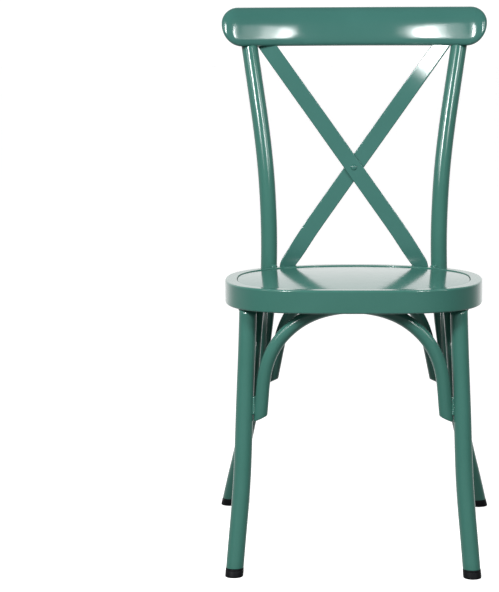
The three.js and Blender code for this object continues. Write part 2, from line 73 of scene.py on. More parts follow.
LEG_R = 14.1
ARCH_R = 10.75
REAR_LEG = [
    (229.8, 283.0, -20), (225.1, 273.7, 0), (213.7, 250.0, 50), (201.4, 226.0, 100),
    (190.0, 204.0, 150), (179.4, 183.5, 200), (169.4, 165.5, 250), (160.3, 149.6, 300),
    (153.2, 137.0, 350), (148.9, 129.4, 390), (146.6, 125.9, 430), (145.6, 125.0, 470),
    (145.6, 126.9, 510), (147.0, 131.5, 550), (150.0, 140.0, 600), (155.0, 151.0, 650),
    (161.6, 164.0, 700), (169.3, 178.5, 750), (177.1, 193.5, 800), (185.0, 208.5, 850),
]
FRONT_LEG = [
    (189.6, -282.0, -20), (187.7, -273.7, 0), (183.9, -255.0, 50), (179.8, -237.5, 100),
    (176.6, -221.8, 150), (175.1, -207.5, 200), (173.9, -195.3, 250), (172.2, -184.2, 300),
    (170.5, -174.5, 350), (169.3, -166.3, 395), (168.9, -163.0, 415), (168.8, -160.8, 430),
]
FRONT_ARCH_Y = -196.8
FRONT_ARCH = [
    (0, 420.2), (30, 417.4), (61.3, 408.9), (87.6, 395.0), (104.2, 381.3), (117.8, 366.5),
    (130.3, 346.3), (138.8, 323.2), (143.3, 298), (145.3, 272), (147.6, 246), (149.2, 228),
]
REAR_ARCH_TOP, REAR_ARCH_Y, REAR_ARCH_TILT = 420.0, 105.6, 0.347
REAR_ARCH = [
    (0, 420), (29, 417.2), (57, 408), (84, 392.5), (106.5, 371), (120.5, 344), (127.4, 322),
    (132.8, 297), (138.2, 270), (143.8, 242), (146.4, 229),
]
SIDE_ARCH_X, SIDE_ARCH_END, SIDE_ARCH_LEAN = 166.6, 245.0, 0.066
SIDE_ARCH = [
    (-172.6, 228), (-168, 250), (-157.5, 300), (-152.4, 325), (-145.2, 350), (-130.5, 376.5),
    (-103.5, 398), (-66, 409.8), (-24, 412.4), (16, 407), (54, 394.6), (88, 374.5), (106.4, 350),
    (115, 325), (122, 300), (137, 250), (143.5, 228),
]
SEAT_CY = -42.0
SEAT_R = [209.218, -4.159, 9.132, -5.392, -7.01, 2.182, -0.27, 0.71]
RIM_W, RING_W, LEDGE_Z = 19.5, 24.5, 441.2
PANEL_PEAK, PANEL_CROWN, PANEL_CROSS, PANEL_Y, PANEL_T = 452.5, 0.00014, 0.00010, -40.0, 2.5
CREST_HALF, CREST_TOP, CREST_BOTTOM, CREST_SPLIT = 228.5, 891.6, 824.3, 865.0
CREST_T, CREST_Y, CREST_LEAN, CREST_R = 38.0, 247.5, 0.32, 415.0
SLAT_W, SLAT_T, CROSS_Z, SLAT_SLOPE, TAB_X = 28.0, 4.0, 615.9, 0.72, 115.3
FOOT_H = 13.0
TOP_TURN, BOW, TURN_Z, TURN_H = 0.33, 12.5, 680.0, 150.0


# ---------------------------------------------------------------- curves
def centripetal(points, count):
    """Catmull-Rom through the points, evenly spaced along its length."""
    p = np.array(points, float)
    p = np.vstack([2 * p[0] - p[1], p, 2 * p[-1] - p[-2]])
    out = []
    for i in range(1, len(p) - 2):
        a, b, c, d = p[i - 1], p[i], p[i + 1], p[i + 2]
        t0, t1, t2 = (max(np.linalg.norm(v) ** 0.5, 1e-4) for v in (b - a, c - b, d - c))
        m1 = ((b - a) / t0 - (c - a) / (t0 + t1) + (c - b) / t1) * t1
        m2 = ((c - b) / t1 - (d - b) / (t1 + t2) + (d - c) / t2) * t1
        for t in np.linspace(0, 1, 40, endpoint=False):
            out.append(b + m1 * t + (-3 * b + 3 * c - 2 * m1 - m2) * t * t + (2 * b - 2 * c + m1 + m2) * t ** 3)
    out.append(p[-2])
    return respace(np.array(out), count)


def respace(p, count):
    s = np.concatenate([[0], np.cumsum(np.linalg.norm(np.diff(p, axis=0), axis=1))])
    q = np.linspace(0, s[-1], count)
    return np.stack([np.interp(q, s, p[:, k]) for k in range(p.shape[1])], 1)


def eased(p, reach, ends=True):
    """Takes the small waves out of an evenly spaced path, over about this reach."""
    step = np.linalg.norm(np.diff(p, axis=0), axis=1).mean()
    n = max(1, int(round(reach / step)))
    k = np.exp(-0.5 * (np.arange(-2 * n, 2 * n + 1) / n) ** 2)
    k /= k.sum()
    head = 2 * p[0] - p[1:2 * n + 1][::-1]
    tail = 2 * p[-1] - p[-2 * n - 1:-1][::-1]
    q = np.vstack([head, p, tail])
    return np.stack([np.convolve(q[:, i], k, "valid") for i in range(p.shape[1])], 1)


def frames(p, first=None):
    """Tangents and two normals along a path, with no twist."""
    t = np.gradient(p, axis=0)
    t /= np.linalg.norm(t, axis=1)[:, None]
    n = np.zeros_like(p)
    start = np.array(first if first is not None else (0.0, 1.0, 0.0), float)
    n[0] = start - t[0] * start.dot(t[0])
    n[0] /= np.linalg.norm(n[0])
    for i in range(1, len(p)):
        v = n[i - 1] - t[i] * n[i - 1].dot(t[i])
        n[i] = v / np.linalg.norm(v)
    return t, n, np.cross(t, n)


def smoothstep(t):
    t = np.clip(t, 0, 1)
    return t * t * (3 - 2 * t)


# ---------------------------------------------------------------- meshes
PIECES = []


def to_object(name, verts_mm, faces, nodes, slot, material, sharp_deg=None, weighted=False):
    """A piece from vertices in millimetres. It rides on the body and stands for its nodes."""
    me = bpy.data.meshes.new(name)
    v = np.asarray(verts_mm, float) * MM + OFFSET
    me.from_pydata([tuple(x) for x in v], [], [tuple(f) for f in faces])
    me.validate()
    bm = bmesh.new()
    bm.from_mesh(me)
    bmesh.ops.remove_doubles(bm, verts=bm.verts, dist=1e-6)
    bmesh.ops.recalc_face_normals(bm, faces=bm.faces)
    bm.to_mesh(me)
    bm.free()
    for p in me.polygons:
        p.use_smooth = True
    ob = bpy.data.objects.new(name, me)
    bpy.context.scene.collection.objects.link(ob)
    me.materials.append(material)
    if weighted:
        w = ob.modifiers.new("normals", "WEIGHTED_NORMAL")
        w.mode = "FACE_AREA"
        w.weight = 60
    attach(ob, "root")
    if nodes:
        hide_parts(*nodes)
    PIECES.append(ob)
    return ob


def loft(rings, closed_path=False, cap=True):
    """Quads between rings of equal count, with a fan over each end."""
    n = len(rings[0])
    m = len(rings)
    verts = [tuple(p) for r in rings for p in r]
    faces = []
    for i in range(m if closed_path else m - 1):
        a, b = i * n, ((i + 1) % m) * n
        for j in range(n):
            k = (j + 1) % n
            faces.append((a + j, a + k, b + k, b + j))
    if cap and not closed_path:
        for i, flip in ((0, True), (m - 1, False)):
            c = len(verts)
            verts.append(tuple(np.mean(np.array(rings[i]), axis=0)))
            for j in range(n):
                k = (j + 1) % n
                faces.append((i * n + k, i * n + j, c) if flip else (i * n + j, i * n + k, c))
    return verts, faces


def circle(centre, n, b, radius, sides):
    a = np.linspace(0, 2 * np.pi, sides, endpoint=False)
    return centre + radius * (np.cos(a)[:, None] * n + np.sin(a)[:, None] * b)


def tube_rings(path, radius, sides, first=None):
    t, n, b = frames(path, first)
    return [circle(path[i], n[i], b[i], radius, sides) for i in range(len(path))], t


def clipped(rings, tangents, plane_point, plane_normal, edge=0.8, end=-1):
    """Cuts a tube's end by a plane, with a small rounded edge. end is 0 or -1. The normal points at what goes."""
    if end == 0:
        return clipped(rings[::-1], -tangents[::-1], plane_point, plane_normal, edge, -1)[::-1]
    pp, pn = np.array(plane_point, float), np.array(plane_normal, float)
    pn /= np.linalg.norm(pn)
    i = len(rings) // 2
    while i + 1 < len(rings) and ((rings[i + 1] - pp) @ pn).max() < -2.2 * edge:
        i += 1
    t = tangents[i]
    base = rings[i]
    flat = base - np.outer(((base - pp) @ pn) / (t @ pn), t)
    centre = flat.mean(axis=0)
    made = list(rings[:i + 1])
    for a in (0, 22, 45, 68, 90):
        r = math.radians(a)
        ring = flat - edge * (1 - math.sin(r)) * t
        away = ring - centre
        away -= np.outer(away @ pn, pn)
        away /= np.linalg.norm(away, axis=1)[:, None]
        made.append(ring - edge * (1 - math.cos(r)) * away)
    inner = made[-1]
    c = inner.mean(axis=0)
    for f in (0.94, 0.6):
        made.append(c + (inner - c) * f)
    return made


def fillet_section(points, radii, steps=5):
    """A closed polygon with each corner rounded by its own radius, with a support point each side."""
    out = []
    n = len(points)
    for i in range(n):
        p = np.array(points[i], float)
        a = np.array(points[i - 1], float) - p
        b = np.array(points[(i + 1) % n], float) - p
        la, lb = np.linalg.norm(a), np.linalg.norm(b)
        a, b = a / la, b / lb
        r = radii[i]
        if r <= 0:
            out.append(p)
            continue
        half = math.acos(np.clip(a.dot(b), -1, 1)) / 2
        cut = min(r / math.tan(half), 0.49 * la, 0.49 * lb)
        r = cut * math.tan(half)
        mid = (a + b) / np.linalg.norm(a + b)
        centre = p + mid * r / math.sin(half)
        s, e = p + a * cut, p + b * cut
        s0, e0 = s + a * min(0.5, 0.2 * la), e + b * min(0.5, 0.2 * lb)
        out.append(s0)
        va, vb = s - centre, e - centre
        turn = math.acos(np.clip(va.dot(vb) / (r * r), -1, 1))
        for k in range(steps + 1):
            f = k / steps
            out.append(centre + (math.sin((1 - f) * turn) * va + math.sin(f * turn) * vb) / math.sin(turn))
        out.append(e0)
    return np.array(out)


# ---------------------------------------------------------------- materials
def paint(name, seed, weld=False, dull=0.0, shade_tone=(1.0, 1.0, 1.0)):
    """Gloss powder coat: slight orange peel, faint mottling, a little wear in the gloss."""
    m = bpy.data.materials.new(name)
    m.use_nodes = True
    nt = m.node_tree
    nt.nodes.clear()
    out = nt.nodes.new("ShaderNodeOutputMaterial")
    b = nt.nodes.new("ShaderNodeBsdfPrincipled")
    nt.links.new(b.outputs[0], out.inputs[0])
    tc = nt.nodes.new("ShaderNodeTexCoord")
    shift = nt.nodes.new("ShaderNodeMapping")
    shift.inputs["Location"].default_value = (seed * 1.7, seed * 0.9, seed * 2.3)
    nt.links.new(tc.outputs["Object"], shift.inputs["Vector"])

    def noise(scale, detail, rough=0.5):
        n = nt.nodes.new("ShaderNodeTexNoise")
        n.inputs["Scale"].default_value = scale
        n.inputs["Detail"].default_value = detail
        n.inputs["Roughness"].default_value = rough
        nt.links.new(shift.outputs[0], n.inputs["Vector"])
        return n.outputs["Fac"]

    def ramp(fac, lo, hi, a, c):
        r = nt.nodes.new("ShaderNodeMapRange")
        r.inputs["From Min"].default_value = lo
        r.inputs["From Max"].default_value = hi
        r.inputs["To Min"].default_value = a
        r.inputs["To Max"].default_value = c
        nt.links.new(fac, r.inputs["Value"])
        return r.outputs[0]

    # colour: broad drift in film thickness, and a fine speckle of pigment
    drift = noise(14.0, 3.0)
    speck = noise(900.0, 2.0)
    mix = nt.nodes.new("ShaderNodeMix")
    mix.data_type = "RGBA"
    # shade_tone scales the paint colour: below one it is painted shade, a darker copy of the same coat
    mix.inputs["A"].default_value = (*(c * k for c, k in zip(PAINT_A, shade_tone)), 1)
    mix.inputs["B"].default_value = (*(c * k for c, k in zip(PAINT_B, shade_tone)), 1)
    nt.links.new(ramp(drift, 0.3, 0.7, 0.0, 1.0), mix.inputs["Factor"])
    mix2 = nt.nodes.new("ShaderNodeMix")
    mix2.data_type = "RGBA"
    mix2.blend_type = "MULTIPLY"
    nt.links.new(ramp(speck, 0.35, 0.7, 0.0, 0.16), mix2.inputs["Factor"])
    nt.links.new(mix.outputs["Result"], mix2.inputs["A"])
    mix2.inputs["B"].default_value = (0.72, 0.78, 0.76, 1)
    nt.links.new(mix2.outputs["Result"], b.inputs["Base Color"])
    # gloss
    haze = noise(38.0, 4.0, 0.6)
    nt.links.new(ramp(haze, 0.3, 0.75, (0.10 if weld else 0.095) + dull, (0.16 if weld else 0.145) + dull), b.inputs["Roughness"])
    # orange peel
    peel = noise(420.0, 2.0, 0.4)
    bump = nt.nodes.new("ShaderNodeBump")
    bump.inputs["Strength"].default_value = 0.10 if not weld else 0.25
    bump.inputs["Distance"].default_value = 0.00025
    nt.links.new(peel, bump.inputs["Height"])
    nt.links.new(bump.outputs[0], b.inputs["Normal"])
    b.inputs["IOR"].default_value = 1.5
    b.inputs["Metallic"].default_value = 0.0
    return m


def moulded(name):
    m = bpy.data.materials.new(name)
    m.use_nodes = True
    nt = m.node_tree
    b = nt.nodes["Principled BSDF"]
    tc = nt.nodes.new("ShaderNodeTexCoord")
    n = nt.nodes.new("ShaderNodeTexNoise")
    n.inputs["Scale"].default_value = 700.0
    n.inputs["Detail"].default_value = 3.0
    nt.links.new(tc.outputs["Object"], n.inputs["Vector"])
    r = nt.nodes.new("ShaderNodeValToRGB")
    r.color_ramp.elements[0].color = (0.0035, 0.004, 0.005, 1)
    r.color_ramp.elements[1].color = (0.008, 0.009, 0.011, 1)
    b.inputs["Specular IOR Level"].default_value = 0.12
    nt.links.new(n.outputs["Fac"], r.inputs[0])
    nt.links.new(r.outputs[0], b.inputs["Base Color"])
    scuff = nt.nodes.new("ShaderNodeTexNoise")
    scuff.inputs["Scale"].default_value = 90.0
    scuff.inputs["Detail"].default_value = 5.0
    nt.links.new(tc.outputs["Object"], scuff.inputs["Vector"])
    mr = nt.nodes.new("ShaderNodeMapRange")
    mr.inputs["From Min"].default_value = 0.3
    mr.inputs["From Max"].default_value = 0.7
    mr.inputs["To Min"].default_value = 0.38
    mr.inputs["To Max"].default_value = 0.62
    nt.links.new(scuff.outputs["Fac"], mr.inputs["Value"])
    nt.links.new(mr.outputs[0], b.inputs["Roughness"])
    bump = nt.nodes.new("ShaderNodeBump")
    bump.inputs["Strength"].default_value = 0.25
    bump.inputs["Distance"].default_value = 0.0002
    nt.links.new(n.outputs["Fac"], bump.inputs["Height"])
    nt.links.new(bump.outputs[0], b.inputs["Normal"])
    return m


PAINT_A = (0.048, 0.170, 0.137, 1)
PAINT_B = (0.053, 0.180, 0.147, 1)
TUBE = paint("powder_coat_tube", 1.0)
SEAT = paint("powder_coat_seat", 2.0)
# painted shade: the crest, slats and rivet have the same coat as the frame, darkened and made less green here to stand
# in for their shade
BACK = paint("powder_coat_back_painted_shade", 3.0, shade_tone=(0.96, 0.92, 0.97))
WELD = paint("powder_coat_weld", 4.0, weld=True)
COLLAR = paint("powder_coat_collar", 5.0, weld=True, dull=0.35)
PLASTIC = moulded("moulded_black_plastic")


# ---------------------------------------------------------------- legs, feet
def at_height(path, z):
    i = int(np.argmax((path[:-1, 2] - z) * (path[1:, 2] - z) <= 0))
    t = (z - path[i, 2]) / (path[i + 1, 2] - path[i, 2])
    return path[i] + t * (path[i + 1] - path[i])


SIDES = (("left", -1), ("right", 1))


def side_path(points, s, count=260, reach=14):
    p = np.array(points, float)
    p[:, 0] *= s
    return eased(centripetal(p, count), reach)


PATHS = {}
for name, s in SIDES:
    PATHS["front", s] = side_path(FRONT_LEG, s, 150, 12)
    PATHS["rear", s] = side_path(REAR_LEG, s, 300, 16)

for name, s in SIDES:
    for which in ("front", "rear"):
        path = PATHS[which, s]
        rings, t = tube_rings(path, LEG_R, 56, (s, 0, 0))
        top = SEAT_TOP - RING_H - 0.3 if which == "front" else 830.5
        keep = [i for i in range(len(path)) if path[i, 2] < top - 9]
        rings, t = [rings[i] for i in keep], t[keep]
        # top: level, where it meets the ring or ends inside the crest rail
        flat = rings[-1] + ((top - rings[-1][:, 2]) / t[-1][2])[:, None] * t[-1]
        rings = rings + [flat]
        t = np.vstack([t, t[-1:]])
        rings = clipped(rings, t, (0, 0, FOOT_H + 0.3), (0, 0, -1), 0.7, end=0)
        to_object(f"{which}_leg_{name}_tube", *loft(rings), [f"{which}_leg_{name}"], "painted_tube", TUBE)

        # foot: a moulded cap on the slanted tube, level underneath
        base = at_height(path, 0.0)
        up = at_height(path, 30.0) - base
        up /= up[2]
        cap_r = LEG_R + 0.25
        # (height, radius along the slanted tube)
        prof = [(0.0, cap_r - 6.5), (0.0, cap_r - 2.0), (0.15, cap_r - 1.1), (0.55, cap_r - 0.45), (1.3, cap_r - 0.08),
                (2.2, cap_r), (FOOT_H - 3.4, cap_r), (FOOT_H - 3.0, cap_r - 0.12), (FOOT_H - 2.7, cap_r - 0.5), (FOOT_H - 2.3, cap_r - 0.5),
                (FOOT_H - 2.0, cap_r - 0.12), (FOOT_H - 1.6, cap_r), (FOOT_H - 0.5, cap_r), (FOOT_H - 0.15, cap_r - 0.2), (FOOT_H, cap_r - 0.6),
                (FOOT_H, 11.5), (FOOT_H + 0.4, 11.2), (FOOT_H + 17, 11.0), (FOOT_H + 18, 10.4)]
        t0 = np.array([up[0], up[1], 1.0])
        t0 /= np.linalg.norm(t0)
        n0 = np.cross(t0, (0, 1, 0))
        n0 /= np.linalg.norm(n0)
        b0 = np.cross(t0, n0)
        unit = circle(np.zeros(3), n0, b0, 1.0, 56)
        unit = unit - np.outer(unit[:, 2] / t0[2], t0)  # level ellipse whose tube is round
        rs = []
        for z, r in prof:
            c = base + up * z
            rs.append(c + unit * r)
        to_object(f"foot_{which}_{name}_cap", *loft(rs), [f"foot_cap_{which}_{name}"], "foot_plastic", PLASTIC)


# ---------------------------------------------------------------- arches
def arch_piece(name, path, cuts, node, first):
    rings, t = tube_rings(path, ARCH_R, 44, first)
    (p0, n0), (p1, n1) = cuts
    half = len(rings) // 2
    first_half = clipped(rings[:half] + rings[half:half + 1], t[:half + 1], p0, n0, 1.6, end=0)
    last_half = clipped(rings[half:], t[half:], p1, n1, 1.6, end=-1)
    full = first_half + last_half[1:]
    return to_object(name, *loft(full), [node], "painted_tube", TUBE)


def mirror_half(half, make):
    return [make(-u, z) for u, z in half[:0:-1]] + [make(u, z) for u, z in half]


SLANT = 0.43
fa = eased(centripetal(mirror_half(FRONT_ARCH, lambda u, z: (u, FRONT_ARCH_Y, z)), 300), 12)
cut_n = (math.sin(SLANT), 0, math.cos(SLANT))
arch_piece("front_arch_tube", fa, (((-148.6, FRONT_ARCH_Y, 239.5), (cut_n[0], 0, -cut_n[2])), ((148.6, FRONT_ARCH_Y, 239.5), (-cut_n[0], 0, -cut_n[2]))), "front_arch", (0, 1, 0))


def rear_point(u, z):
    return (u, REAR_ARCH_Y + REAR_ARCH_TILT * (REAR_ARCH_TOP - z), z)


ra = eased(centripetal(mirror_half(REAR_ARCH, rear_point), 300), 12)
re_ = rear_point(144.2, 240)
arch_piece("rear_arch_tube", ra, (((-re_[0], re_[1], 241), (cut_n[0], -0.17, -cut_n[2])), ((re_[0], re_[1], 241), (-cut_n[0], -0.17, -cut_n[2]))), "rear_arch", (0, 1, 0))


def side_point(s, y, z):
    return (s * (SIDE_ARCH_X - SIDE_ARCH_LEAN * (z - SIDE_ARCH_END)), y, z)


SA = {}
for name, s in SIDES:
    sa = eased(centripetal([side_point(s, y, z) for y, z in SIDE_ARCH], 300), 12)
    SA[s] = sa
    arch_piece(f"side_arch_{name}_tube", sa, (((s * SIDE_ARCH_X, -170.1, 240), (0, cut_n[0], -cut_n[2])), ((s * SIDE_ARCH_X, 140.0, 240), (0, -cut_n[0], -cut_n[2]))), f"side_arch_{name}", (1, 0, 0))


# ---------------------------------------------------------------- seat
def seat_radius(a):
    c = SEAT_R
    return (c[0] + c[1] * np.sin(a) + c[2] * np.cos(2 * a) + c[3] * np.sin(3 * a) + c[4] * np.cos(4 * a)
            + c[5] * np.sin(5 * a) + c[6] * np.cos(6 * a) + c[7] * np.sin(7 * a))


def seat_point(a, offset):
    """Point and outward normal at an offset inside the outline."""
    def at(t):
        r = seat_radius(t)
        return np.stack([r * np.cos(t), SEAT_CY + r * np.sin(t)], -1)
    d = at(a + 1e-4) - at(a - 1e-4)
    d /= np.linalg.norm(d, axis=-1, keepdims=True)
    n = np.stack([d[..., 1], -d[..., 0]], -1)
    return at(a) - n * np.asarray(offset)[..., None], n


AROUND = 320
ANGLES = np.linspace(0, 2 * np.pi, AROUND, endpoint=False)
RB = SEAT_TOP - RING_H
ring_outer = fillet_section(
    [(0, RB), (0, SEAT_TOP), (RIM_W, SEAT_TOP), (RIM_W, LEDGE_Z), (RING_W, LEDGE_Z), (RING_W, RB)],
    [2.6, 3.0, 1.3, 0.6, 1.5, 1.8], 7)
rings = []
for a in ANGLES:
    aa = np.full(len(ring_outer), a)
    p, _ = seat_point(aa, ring_outer[:, 0])
    rings.append(np.column_stack([p, ring_outer[:, 1]]))
to_object("seat_ring_shell", *loft(rings, closed_path=True), ["seat_ring"], "painted_seat", SEAT)

# panel: crowned top, small rolled edge, flange down to the ledge, underside
edge = RIM_W + 0.35


def crown(q):
    return PANEL_PEAK - PANEL_CROWN * (q[:, 1] - PANEL_Y) ** 2 - PANEL_CROSS * q[:, 0] ** 2


rings = []
top_steps = [(2.0, 0.0), (1.6, 0.01), (1.2, 0.09), (0.75, 0.3), (0.38, 0.64), (0.12, 1.1), (0.0, 1.6)]
bottom = LEDGE_Z + 0.35
inner_rows = 26
outline_in, _ = seat_point(ANGLES, np.full(AROUND, edge + 2.0))
centre = np.array([0.0, SEAT_CY])
rows = []
for k in range(1, inner_rows + 1):
    q = centre + (outline_in - centre) * (k / inner_rows)
    rows.append(np.column_stack([q, crown(q)]))
for off, drop in top_steps[1:]:
    q, _ = seat_point(ANGLES, np.full(AROUND, edge + off))
    rows.append(np.column_stack([q, crown(q) - drop]))
q, _ = seat_point(ANGLES, np.full(AROUND, edge))
rows.append(np.column_stack([q, np.full(AROUND, bottom)]))
q2, _ = seat_point(ANGLES, np.full(AROUND, edge + PANEL_T))
rows.append(np.column_stack([q2, np.full(AROUND, bottom)]))
rows.append(np.column_stack([q2, crown(q2) - PANEL_T - 0.6]))
q3, _ = seat_point(ANGLES, np.full(AROUND, edge + PANEL_T + 1.5))
rows.append(np.column_stack([q3, crown(q3) - PANEL_T]))
for k in range(inner_rows, 0, -3):
    q = centre + (q3 - centre) * (k / inner_rows) * 0.985
    rows.append(np.column_stack([q, crown(q) - PANEL_T]))
# order the rows from the top centre, out, round the edge and back in
verts, faces = loft(rows)
to_object("seat_panel_sheet", verts, faces, ["seat_panel"], "painted_seat", SEAT)


# ---------------------------------------------------------------- back: slats
tab_a = min(np.arange(0.5, 1.5, 0.0005), key=lambda a: abs(seat_point(np.array(a), 0.0)[0][0] - (TAB_X - 1.4)))
tab_xy, tab_n = seat_point(np.array(tab_a), -(SLAT_T / 2 + 0.7))
HEIGHTS = [423, 436, 447, 453, 459, 466, 475, 487, 502, 520, 543, 568, 592, 615.9, 640, 664, 700, 740, 780, 812, 846]


def top_bend(layer, t):
    if layer < 0:
        return BOW * smoothstep(t)
    u = min(1.0, max(0.0, t))
    return SLAT_SLOPE * math.tan(TOP_TURN) * TURN_H * (u ** 3 - u ** 4 / 2 + max(0.0, t - 1))


def slat_stations(layer, heights=HEIGHTS):
    rows = []
    for z in heights:
        straight = -SLAT_SLOPE * (z - CROSS_Z)
        low = tab_xy[0] - 0.68 * max(0, z - 451)
        k = smoothstep((z - 470) / 60)
        x = tab_xy[0] if z < 448 else low * (1 - k) + straight * k
        h = max(0, z - 452)
        lean = tab_xy[1] + 0.5 + 0.12 * h + 0.00022 * h * h + BOW * smoothstep(h / 200) - top_bend(layer, (z - TURN_Z) / TURN_H)
        over = smoothstep((140 - abs(z - CROSS_Z)) / 95)
        m = smoothstep((z - 448) / 10)
        y = tab_xy[1] if z < 448 else tab_xy[1] * (1 - m) + lean * m + layer * (SLAT_T / 2 + 0.2) * over
        rows.append((float(x), float(y), float(z)))
    return rows


def slat_piece(name, layer, mirror, node):
    pts = np.array(slat_stations(layer, list(np.arange(423, 460, 2.0)) + list(np.arange(460, 848, 6.0))))
    p = eased(respace(pts, 420), 5)
    keep = p[:, 2] <= 833
    p = p[keep]
    t = np.gradient(eased(p, 9), axis=0)
    t /= np.linalg.norm(t, axis=1)[:, None]
    hw, ht, r = SLAT_W / 2, SLAT_T / 2, 1.3
    sect = fillet_section([(-hw, -ht), (hw, -ht), (hw, ht), (-hw, ht)], [r] * 4, 4)
    rings = []
    for i in range(len(p)):
        k = smoothstep((p[i, 2] - 447) / 62)
        turn = TOP_TURN * smoothstep((p[i, 2] - TURN_Z) / TURN_H) if layer > 0 else 0.0
        back = np.array([-math.sin(turn), math.cos(turn), (t[i, 0] * math.sin(turn) - t[i, 1] * math.cos(turn)) / t[i, 2]])
        back /= np.linalg.norm(back)
        face = np.array([tab_n[0], tab_n[1], 0.0]) * (1 - k) + back * k
        face /= np.linalg.norm(face)
        face -= t[i] * face.dot(t[i])
        face /= np.linalg.norm(face)
        across = np.cross(t[i], face)
        ring = p[i] + sect[:, :1] * across + sect[:, 1:] * face
        ring[:, 0] *= mirror
        rings.append(ring)
    # rounded lower end of the tab
    a = rings[0]
    c = a.mean(axis=0)
    down = -t[0] * np.array([mirror, 1, 1])
    extra = []
    for f, d in ((0.90, 1.0), (0.97, 0.55), (0.995, 0.2)):
        extra.append(c + (a - c) * f + down * d)
    rings = extra + rings
    top = rings[-1]
    return to_object(name, *loft(rings), [node], "painted_tube", BACK), p


slat_piece("back_slat_front_bar", -1, 1, "back_slat_front")
slat_piece("back_slat_rear_bar", 1, -1, "back_slat_rear")

# rivet through the crossing, placed between the two bars at the crossing height
r_lo, r_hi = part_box("cross_rivet")
rc = (np.array(r_lo) + np.array(r_hi)) / 2
rc = (rc - OFFSET) / MM
st_a, st_b = slat_stations(1)[12], slat_stations(1)[14]
lean = math.atan2(st_b[1] - st_a[1], st_b[2] - st_a[2])
axis = np.array([0, -math.cos(lean), math.sin(lean)])
mid = np.array([0.0, (slat_stations(-1)[13][1] + slat_stations(1)[13][1]) / 2, CROSS_Z])
f = SLAT_T + 0.25
prof = [(0.3, f + 2.62), (1.6, f + 2.52), (2.9, f + 2.2), (4.0, f + 1.66), (4.9, f + 0.95), (5.4, f + 0.35), (5.6, f + 0.02), (2.5, f), (2.5, -f),
        (5.2, -f - 0.02), (5.1, -f - 0.5), (4.5, -f - 1.0), (3.4, -f - 1.35), (1.6, -f - 1.5), (0.3, -f - 1.52)]
u = np.array([1.0, 0, 0])
v = np.cross(axis, u)
rings = [mid + axis * h + circle(np.zeros(3), u, v, r, 40) for r, h in prof]
to_object("cross_rivet_head", *loft(rings), ["cross_rivet"], "painted_tube", BACK)


# ---------------------------------------------------------------- crest rail
def crest_point(x, b, inset=0.0):
    """Point on the crest at a station x, at an angle b round its section."""
    half = CREST_HALF - inset

    def upper(r):
        d = (abs(x) - (half - r)) / r
        return 1.0 if d <= 0 else math.sqrt(max(0.0, 1 - d * d))
    top = CREST_SPLIT + (CREST_TOP - inset - CREST_SPLIT) * upper(27)
    low = CREST_SPLIT - (CREST_SPLIT - CREST_BOTTOM - inset) * upper(36)
    thick = (CREST_T / 2 - inset) * upper(30)
    power = 2 / 3.8 if math.sin(b) < 0 else 2 / 2.5
    c = math.copysign(abs(math.cos(b)) ** power, math.cos(b))
    d = math.copysign(abs(math.sin(b)) ** power, math.sin(b))
    z = (top + low) / 2 + (top - low) / 2 * d
    y = CREST_Y - x * x / (2 * CREST_R) + CREST_LEAN * (z - 858) + thick * c
    return x, y, z


stations = []
for k in range(34):
    stations.append(CREST_HALF - 36 * (1 - math.cos(math.pi / 2 * (k / 33))) if k else CREST_HALF - 0.02)
inner = np.linspace(CREST_HALF - 36, -(CREST_HALF - 36), 120)[1:-1]
xs = stations + list(inner) + [-x for x in stations[::-1]]
ARC = 72
rings = [np.array([crest_point(x, 2 * math.pi * j / ARC) for j in range(ARC)]) for x in xs]
to_object("crest_rail_shell", *loft(rings), ["crest_rail"], "painted_tube", BACK)


# ---------------------------------------------------------------- welds
def ripple_bead(name, centres, normals_a, normals_b, ra, rb, node, pitch=3.4, depth=0.5, seed=0):
    """A weld bead: an oval section carried along, with overlapping scallops."""
    rng = np.random.default_rng(seed)
    p = respace(np.array(centres, float), max(24, int(len(centres))))
    s = np.concatenate([[0], np.cumsum(np.linalg.norm(np.diff(p, axis=0), axis=1))])
    rings = []
    n = len(p)
    for i in range(n):
        e = min(s[i], s[-1] - s[i])
        end = math.sqrt(max(0.0, 1 - max(0.0, 1 - e / (0.7 * ra)) ** 2))
        w = (s[i] / pitch) % 1.0
        scale = (1 - depth * 0.12 * (1 - math.sin(math.pi * w)) ** 1.5) * max(end, 0.05)
        a = np.linspace(0, 2 * np.pi, 28, endpoint=False)
        ring = p[i] + scale * (ra * np.cos(a)[:, None] * normals_a + rb * np.sin(a)[:, None] * normals_b)
        rings.append(ring)
    return to_object(name, *loft(rings), node, "painted_weld", WELD)


def web_weld(name, leg, arch_at, lean_path, node, length=31.0, seed=0):
    """Fills the gap between a leg and an arch end beside it."""
    z = arch_at[2]
    c = at_height(leg, z)
    across = np.array(arch_at) - c
    across[2] = 0
    gap = np.linalg.norm(across) - LEG_R - ARCH_R
    unit = across / np.linalg.norm(across)
    up = at_height(leg, z + 15) - c
    up /= np.linalg.norm(up)
    side = np.cross(up, unit)
    side /= np.linalg.norm(side)
    mid = c + unit * (LEG_R + gap / 2)
    n = 60
    pts = [mid + up * (length * (k / (n - 1) - 0.5)) for k in range(n)]
    return ripple_bead(name, pts, unit, side, gap / 2 + 2.2, 5.4, [node], pitch=3.6, seed=seed)


